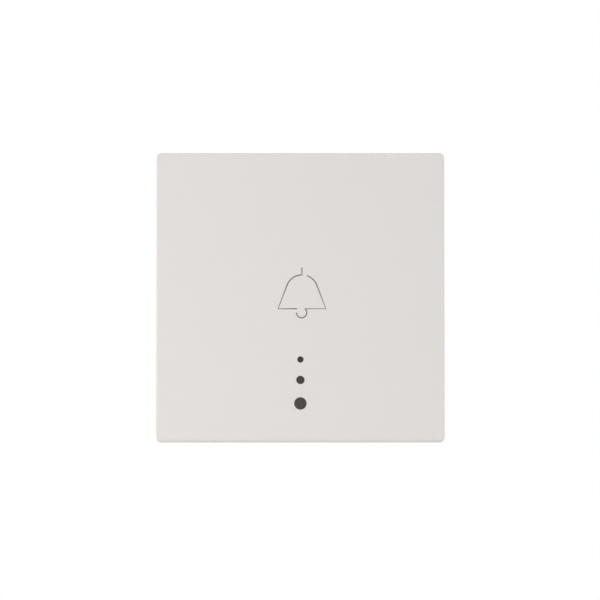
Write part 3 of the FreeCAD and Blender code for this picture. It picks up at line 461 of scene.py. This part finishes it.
def add_block(bm, low, high, bevel=0.0):
    """Adds a block between two corners, with its edges bevelled where asked."""
    low, high = Vector(low), Vector(high)
    span = high - low
    place = Matrix.Translation((low + high) / 2) @ Matrix.Diagonal((*span, 1.0))
    made = bmesh.ops.create_cube(bm, size=1.0, matrix=place)["verts"]
    if bevel:
        edges = list({edge for vert in made for edge in vert.link_edges})
        bmesh.ops.bevel(
            bm, geom=edges, offset=bevel, offset_type="OFFSET", segments=2, profile=0.5,
            affect="EDGES", material=-1,
        )


def add_cone(bm, foot, radii, length, up=1.0):
    """Adds a cone, by its radii at foot and end, on a face that looks to +Y. It can be flattened in Z."""
    stand = Matrix.Rotation(-math.pi / 2, 4, "X")
    middle = Vector(foot) + Vector((0, length / 2, 0))
    place = Matrix.Translation(middle) @ Matrix.Diagonal((1, 1, up, 1))
    bmesh.ops.create_cone(
        bm, cap_ends=True, segments=CONE_SIDES, radius1=radii[0], radius2=radii[1], depth=length,
        matrix=place @ stand,
    )


def add_turned(bm, centre, profile):
    """Turns a profile, given as distances from the axis and along +Y, round an axis through a point."""
    verts = [bm.verts.new(Vector(centre) + Vector((out, along, 0))) for out, along in profile]
    edges = [bm.edges.new(pair) for pair in zip(verts, verts[1:])]
    bmesh.ops.spin(
        bm, geom=verts + edges, cent=centre, axis=(0, 1, 0), angle=2 * math.pi, steps=TURNED_SIDES,
        use_merge=True,
    )


def keep(mesh_name, material, body, bm=None, mesh=None):
    """Makes an object of a finished mesh and lets it ride on a body."""
    if bm is not None:
        bmesh.ops.remove_doubles(bm, verts=bm.verts, dist=WELD)
        bmesh.ops.recalc_face_normals(bm, faces=bm.faces)
        mesh = bpy.data.meshes.new(mesh_name)
        bm.to_mesh(mesh)
        bm.free()
    mesh.materials.clear()
    mesh.materials.append(material)
    piece = bpy.data.objects.new(mesh_name, mesh)
    bpy.context.scene.collection.objects.link(piece)
    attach(piece, body)
    return piece


def face_place():
    """Turns a drawing in the face's plane, across and up, into the key's face at rest."""
    size = settings("bell_sizes")
    lean = Matrix.Rotation(-size.lean, 4, "X")
    return Matrix.Translation(pivot()) @ lean @ Matrix.Translation((0, -size.front, 0))


def arc(centre, radius, start, end, steps=14):
    """Points on an arc in the face's plane, from one angle to another."""
    turns = [start + (end - start) * step / steps for step in range(steps + 1)]
    return [(centre[0] + radius * math.cos(turn), centre[1] + radius * math.sin(turn)) for turn in turns]


CROWN_GAP = math.radians(18)  # opening in the crown to the right of the stem
HOOK_START = math.radians(48)  # where the clapper's hook starts, at the rim
HOOK_END = math.radians(-182)
HOOK_STEPS = 22
HOOK_ASIDE = 0.08 * MM  # from the stem to the left, to the hook's middle
HOOK_DROP = 0.77  # from the rim down to the hook's middle, in radii of the hook
RIM_END = 1.25 * MM  # from the stem to the left, to where the rim ends


class BELLPUSH_OT_bell(bpy.types.Operator):
    """Print the bell on the key's face"""

    bl_idname = "bellpush.bell"
    bl_label = "Printed bell"

    def execute(self, context):
        size = settings("bell_sizes")
        middle = size.middle
        centre = (middle, size.crown - size.crown_radius)
        top = math.pi / 2
        crown = arc(centre, size.crown_radius, top, top + size.shoulder_turn)
        right = arc(centre, size.crown_radius, top - CROWN_GAP, top - size.shoulder_turn)
        hook_middle = (middle - HOOK_ASIDE, size.rim - HOOK_DROP * size.clapper)
        hook = arc(hook_middle, size.clapper, HOOK_START, HOOK_END, HOOK_STEPS)
        left_line = [(middle, size.top), (middle, size.crown)] + crown
        left_line += [(middle - size.half, size.rim), (middle - RIM_END, size.rim)]
        right_line = right + [(middle + size.half, size.rim), (hook[0][0], size.rim)] + hook
        curve = bpy.data.curves.new("bell_line", "CURVE")
        curve.dimensions = "3D"
        curve.bevel_depth = size.line / 2
        curve.bevel_resolution = 3
        curve.use_fill_caps = True
        for line in (left_line, right_line):
            spline = curve.splines.new("POLY")
            spline.points.add(len(line) - 1)
            for point, (across, up) in zip(spline.points, line):
                point.co = (across, 0.0, up, 1.0)
        drawn = bpy.data.objects.new("bell_line", curve)
        mesh = bpy.data.meshes.new_from_object(drawn)
        bpy.data.objects.remove(drawn)
        flat = Matrix.Scale(2 * size.rise / size.line, 4, (0, 1, 0))
        mesh.transform(face_place() @ flat)
        for polygon in mesh.polygons:
            polygon.use_smooth = True
        bell = keep("bell_print", print_ink(), "rocker", mesh=mesh)
        return {"FINISHED"}


class BELLPUSH_OT_key(bpy.types.Operator):
    """Finish the key, its windows and its cradle"""

    bl_idname = "bellpush.key"
    bl_label = "Key, windows and cradle"

    def execute(self, context):
        dress(key_plastic(), "key_plate")
        dress(window_plastic(), "light_guide")
        dress(cover_plastic(), "rocker_cradle", "cover")
        return {"FINISHED"}


class BELLPUSH_OT_insert(bpy.types.Operator):
    """Finish the strap, the housing and everything inside it"""

    bl_idname = "bellpush.insert"
    bl_label = "Insert"

    def execute(self, context):
        dress(plated_sheet(), "support_strap")
        dress(housing_plastic(), "housing", "housing_ring")
        dress(slide_plastic(), "plunger")
        steel = [name for name in nodes if "screw" in name or "sleeve" in name]
        dress(metal("plated_screw"), *steel)
        dress(metal("rolled_copper"), "contact_bridge", "lamp_lead_left", "lamp_lead_right")
        dress(metal("machined_brass"), "terminal_left", "terminal_right")
        tips = [name for name in nodes if "tip" in name]
        dress(metal("contact_silver"), *tips)
        dress(lamp_plastic(), "lamp")
        dress(board_laminate(), "lamp_board")
        dress(resistor_glaze(), "lamp_resistor")
        return {"FINISHED"}


WIRE_SIDES = 12
TURN_STEPS = 32
CLOSED_PITCH = 1.04  # rise of a closed turn, in diameters of the wire


class BELLPUSH_OT_spring(bpy.types.Operator):
    """Wind the return spring with closed ends"""

    bl_idname = "bellpush.spring"
    bl_label = "Return spring"

    def execute(self, context):
        size = settings("inside_sizes")
        low, high = box_of("return_spring")
        wire = size.spring_wire / 2
        axis = (low + high) / 2
        axis.y = low.y + wire
        radius = (high.x - low.x) / 2 - wire
        bm = bmesh.new()
        start = Matrix.Translation(axis + Vector((radius, 0, 0)))
        section = bmesh.ops.create_circle(
            bm, cap_ends=False, segments=WIRE_SIDES, radius=wire, matrix=start
        )["verts"]
        end = section + list({edge for vert in section for edge in vert.link_edges})
        closed = CLOSED_PITCH * size.spring_wire
        run = high.y - low.y - size.spring_wire
        opened = (run - 2 * closed) / size.spring_turns
        for turns, pitch in ((1, closed), (size.spring_turns, opened), (1, closed)):
            end = bmesh.ops.spin(
                bm, geom=end, cent=axis, axis=(0, 1, 0), dvec=(0, pitch / TURN_STEPS, 0),
                angle=2 * math.pi * turns, steps=TURN_STEPS * turns,
            )["geom_last"]
        bmesh.ops.holes_fill(bm, edges=[edge for edge in bm.edges if edge.is_boundary])
        spring = keep("return_spring_coil", metal("spring_steel"), "insert", bm)
        spring.data.shade_smooth()
        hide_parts("return_spring")
        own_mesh(spring)
        return {"FINISHED"}


LEG = 0.9 * MM  # from the lamp's middle across to where a leg is soldered
LEAD_DROP = 0.5 * MM  # from the board's upper edge down to a lead's joint
LEAD_FLAT = 0.5  # a lead's joint up and down, as a share of its size across
LEAD_JOINT = (0.95 * MM, 0.55 * MM)  # radius of a joint at the board and at its top
LEG_JOINT = (0.55 * MM, 0.24 * MM)
LEG_STUB = (0.22 * MM, 0.18 * MM)
STUB_LENGTH = 1.8  # length of a leg's stub, in heights of a joint
CAP_LIP = 0.03 * MM  # how far a resistor's solder cap stands out all round
CAP_LENGTH = 0.4 * MM  # how far it reaches along the resistor
CAP_BEVEL = 0.06 * MM
RAIL_DROP = 0.9 * MM  # from the board's upper edge down to the long tracks
TRACK_RISE = 0.035 * MM
CUP_DEPTH = 1.6 * MM  # from the lamp's front back to the chip's cup
CUP_PROFILE = ((0.02, 0.35), (0.28, 0.35), (0.62, 0.0), (0.72, 0.0), (0.42, 0.75), (0.02, 0.75))
PIN_ASIDE = 0.35 * MM  # the two pins behind the cup
PIN_BACK = 0.7 * MM
PIN_RADII = (0.14 * MM, 0.14 * MM)
PIN_LENGTH = 2.0 * MM


class BELLPUSH_OT_lamp(bpy.types.Operator):
    """Add the lamp's chip, its solder joints and the tracks of its board"""

    bl_idname = "bellpush.lamp"
    bl_label = "Lamp and board"

    def execute(self, context):
        leads = [middle_of(f"lamp_lead_{side}").x for side in ("left", "right")]
        solder = self.solder(leads)
        tin = metal("tinned_solder")
        keep("solder_joints", tin, "insert", solder)
        tracks = self.tracks(leads)
        keep("board_tracks", track_laminate(), "insert", tracks)
        cup = self.cup()
        keep("lamp_chip", tin, "insert", cup)
        return {"FINISHED"}

    def solder(self, leads):
        """The joints of the two leads and the lamp's legs, and the resistor's two caps."""
        height = settings("inside_sizes").solder
        lamp = middle_of("lamp")
        board = box_of("lamp_board")[1]
        low, high = box_of("lamp_resistor")
        bm = bmesh.new()
        for across in leads:
            add_cone(bm, (across, board.y, board.z - LEAD_DROP), LEAD_JOINT, height, LEAD_FLAT)
        for across in (-LEG, LEG):
            add_cone(bm, (across, board.y, lamp.z), LEG_JOINT, height)
            add_cone(bm, (across, board.y, lamp.z), LEG_STUB, STUB_LENGTH * height)
        for end, inward in ((low.x, 1), (high.x, -1)):
            left, right = sorted((end - inward * CAP_LIP, end + inward * CAP_LENGTH))
            cap_low = (left, board.y, low.z - CAP_LIP)
            add_block(bm, cap_low, (right, high.y + CAP_LIP, high.z + CAP_LIP), CAP_BEVEL)
        return bm

    def tracks(self, leads):
        """The tracks from the leads to the lamp's left leg and, by the resistor, to its right leg."""
        half = settings("inside_sizes").track / 2
        lamp = middle_of("lamp")
        board = box_of("lamp_board")[1]
        low, high = box_of("lamp_resistor")
        rail = board.z - RAIL_DROP
        over = board.y + TRACK_RISE
        bm = bmesh.new()
        add_block(bm, (leads[0], board.y, rail - half), (half - LEG, over, rail + half))
        add_block(bm, (-LEG - half, board.y, lamp.z), (half - LEG, over, rail))
        add_block(bm, (high.x - half, board.y, rail - half), (leads[1], over, rail + half))
        add_block(bm, (high.x - half, board.y, lamp.z), (high.x + half, over, rail))
        add_block(bm, (LEG, board.y, lamp.z - half), (low.x, over, lamp.z + half))
        return bm

    def cup(self):
        """The cup that holds the lamp's chip, and its two pins."""
        lamp = middle_of("lamp")
        seat = (lamp.x, box_of("lamp")[0].y + CUP_DEPTH, lamp.z)
        bm = bmesh.new()
        add_turned(bm, seat, [(out * MM, along * MM) for out, along in CUP_PROFILE])
        for across in (-PIN_ASIDE, PIN_ASIDE):
            add_cone(bm, (across, seat[1] + PIN_BACK, lamp.z), PIN_RADII, PIN_LENGTH)
        return bm


RING_SLOPE = 0.3  # share of a ring's width that slopes up from the hole
MARK_BEVEL = 0.1 * MM
GAUGE_LINE = 0.3 * MM  # half the width of the gauge's lines
GAUGE_UP = -2.5 * MM  # height of the gauge
GAUGE_HALF = 4.5 * MM  # half its length
GAUGE_TICK = 1.2 * MM  # half the height of its end ticks
SHAFT_HALF = 0.4 * MM  # the arrow that points up
SHAFT_FOOT = 6.0 * MM
SHAFT_TOP = 10.8 * MM
HEAD_UP = 11.6 * MM
HEAD_RADIUS = 1.9 * MM


class BELLPUSH_OT_marks(bpy.types.Operator):
    """Raise the rings, the arrow and the strip gauge on the back of the housing"""

    bl_idname = "bellpush.marks"
    bl_label = "Marks on the housing"

    def execute(self, context):
        size = settings("inside_sizes")
        relief = size.relief
        back = box_of("housing")[1].y
        over = back + relief
        sunk = back - relief
        bm = bmesh.new()
        for mount in frame["record"]["mounts"]:
            if mount["name"].startswith("wire_"):
                hole = mount["dims"]["r_mm"] * MM
                spot = (mount["pos_m"][0], back, mount["pos_m"][2])
                out = hole + size.collar
                profile = ((hole, -relief), (hole + RING_SLOPE * size.collar, relief), (out, relief))
                add_turned(bm, spot, profile + ((out, -relief), (hole, -relief)))
        line_low = (-GAUGE_HALF, sunk, GAUGE_UP - GAUGE_LINE)
        add_block(bm, line_low, (GAUGE_HALF, over, GAUGE_UP + GAUGE_LINE), MARK_BEVEL)
        for end in (-GAUGE_HALF, GAUGE_HALF):
            tick_low = (end - GAUGE_LINE, sunk, GAUGE_UP - GAUGE_TICK)
            add_block(bm, tick_low, (end + GAUGE_LINE, over, GAUGE_UP + GAUGE_TICK), MARK_BEVEL)
        add_block(bm, (-SHAFT_HALF, sunk, SHAFT_FOOT), (SHAFT_HALF, over, SHAFT_TOP), MARK_BEVEL)
        head = Matrix.Translation((0, (sunk + over) / 2, HEAD_UP)) @ Matrix.Rotation(math.pi / 2, 4, "X")
        bmesh.ops.create_cone(
            bm, cap_ends=True, segments=3, radius1=HEAD_RADIUS, radius2=HEAD_RADIUS, depth=over - sunk,
            matrix=head @ Matrix.Rotation(math.pi / 2, 4, "Z"),
        )
        keep("housing_marks", mark_plastic(), "insert", bm)
        return {"FINISHED"}


# The lamps round the key: place from the face's middle, size and power.
LAMPS = {
    "left_lamp": ((-1.0, -0.18, 0.05), 0.9, 0.4),
    "right_lamp": ((1.0, -0.18, 0.05), 1.1, 7.4),
    "top_lamp": ((-0.2, -0.25, 1.0), 1.0, 4.6),
    "front_lamp": ((-0.45, -0.45, -0.06), 0.5, 2.3),
    "rear_lamp": ((-0.6, 1.2, 0.8), 1.3, 6.0),
}
FLOOR_SIDES = 96


def area_lamp(name, spot, aim, size, power):
    """A soft square lamp without a reflection, since the white surroundings give the reflections."""
    light = bpy.data.lights.new(name, "AREA")
    light.shape = "SQUARE"
    light.size = size
    light.energy = power
    lamp = bpy.data.objects.new(name, light)
    lamp.location = spot
    lamp.rotation_euler = (Vector(aim) - Vector(spot)).to_track_quat("-Z", "Y").to_euler()
    lamp.visible_glossy = False
    bpy.context.scene.collection.objects.link(lamp)


class BELLPUSH_OT_stage(bpy.types.Operator):
    """Set the floor, the lamps and the camera"""

    bl_idname = "bellpush.stage"
    bl_label = "Stage"

    def execute(self, context):
        scene = context.scene
        stage = settings("bell_stage")
        scene.view_settings.view_transform = "Standard"
        self.world(scene, stage)
        self.floor(scene, stage)
        face = pivot() + Vector((0, -settings("bell_sizes").front, 0))
        for name, (place, size, power) in LAMPS.items():
            area_lamp(name, face + Vector(place), face, size, power)
        camera = bpy.data.cameras.new("camera")
        camera.lens = camera.sensor_width * stage.distance / stage.field
        camera.clip_start = 0.01
        eye = bpy.data.objects.new("camera", camera)
        eye.location = face + Vector((-stage.aside, -stage.distance, -stage.drop))
        eye.rotation_euler = (math.pi / 2, 0, 0)
        scene.collection.objects.link(eye)
        scene.camera = eye
        return {"FINISHED"}

    def world(self, scene, stage):
        """Soft light all round. The camera, reflections and clear plastic see plain white."""
        world = bpy.data.worlds.new("studio")
        world.use_nodes = True
        tree = world.node_tree
        light = tree.nodes["Background"]
        light.inputs["Strength"].default_value = stage.world
        light.inputs["Color"].default_value = (1, 1, 1, 1)
        white = tree.nodes.new("ShaderNodeBackground")
        white.inputs["Color"].default_value = (1, 1, 1, 1)
        white.inputs["Strength"].default_value = 1.0
        rays = tree.nodes.new("ShaderNodeLightPath")
        seen = rays.outputs["Is Camera Ray"]
        for name in ("Is Glossy Ray", "Is Transmission Ray"):
            either = tree.nodes.new("ShaderNodeMath")
            either.operation = "MAXIMUM"
            tree.links.new(seen, either.inputs[0])
            tree.links.new(rays.outputs[name], either.inputs[1])
            seen = either.outputs[0]
        mix = tree.nodes.new("ShaderNodeMixShader")
        tree.links.new(seen, mix.inputs["Fac"])
        tree.links.new(light.outputs[0], mix.inputs[1])
        tree.links.new(white.outputs[0], mix.inputs[2])
        tree.links.new(mix.outputs[0], tree.nodes["World Output"].inputs["Surface"])
        scene.world = world

    def floor(self, scene, stage):
        """A round pale floor, below the view from the front."""
        bm = bmesh.new()
        bmesh.ops.create_circle(bm, cap_ends=True, segments=FLOOR_SIDES, radius=stage.floor_radius)
        bmesh.ops.translate(bm, verts=bm.verts, vec=(0, 0, pivot().z - stage.floor_drop))
        mesh = bpy.data.meshes.new("floor")
        bm.to_mesh(mesh)
        bm.free()
        made = Finish("pale_floor")
        made.feed("Base Color", made.blend(made.noise(60 * MM), (0.84, 0.84, 0.84), (0.87, 0.87, 0.87)))
        made.set(Roughness=0.9)
        mesh.materials.append(made.material)
        floor = bpy.data.objects.new("floor", mesh)
        scene.collection.objects.link(floor)


class BELLPUSH_PT_panel(bpy.types.Panel):
    """The doorbell push's tools"""

    bl_idname = "BELLPUSH_PT_panel"
    bl_label = "Doorbell push"
    bl_space_type = "VIEW_3D"
    bl_region_type = "UI"
    bl_category = "Doorbell"

    def draw(self, context):
        for group, holder in GROUPS.items():
            for name in group.__annotations__:
                self.layout.prop(getattr(context.scene, holder), name)
        for operator in OPERATORS:
            self.layout.operator(operator.bl_idname)


GROUPS = {
    BellSizes: "bell_sizes",
    InsideSizes: "inside_sizes",
    PlasticColours: "bell_colours",
    StageSettings: "bell_stage",
}
OPERATORS = (
    BELLPUSH_OT_stage,
    BELLPUSH_OT_key,
    BELLPUSH_OT_insert,
    BELLPUSH_OT_bell,
    BELLPUSH_OT_spring,
    BELLPUSH_OT_lamp,
    BELLPUSH_OT_marks,
)


def register():
    """Makes the settings, the tools and the panel known."""
    for group, name in GROUPS.items():
        bpy.utils.register_class(group)
        setattr(bpy.types.Scene, name, bpy.props.PointerProperty(type=group))
    for operator in OPERATORS:
        bpy.utils.register_class(operator)
    bpy.utils.register_class(BELLPUSH_PT_panel)


def unregister():
    """Takes them away again."""
    bpy.utils.unregister_class(BELLPUSH_PT_panel)
    for operator in reversed(OPERATORS):
        bpy.utils.unregister_class(operator)
    for group, name in GROUPS.items():
        delattr(bpy.types.Scene, name)
        bpy.utils.unregister_class(group)


def main():
    """Runs every tool."""
    register()
    for operator in OPERATORS:
        family, name = operator.bl_idname.split(".")
        getattr(getattr(bpy.ops, family), name)()


if __name__ == "__main__":
    main()
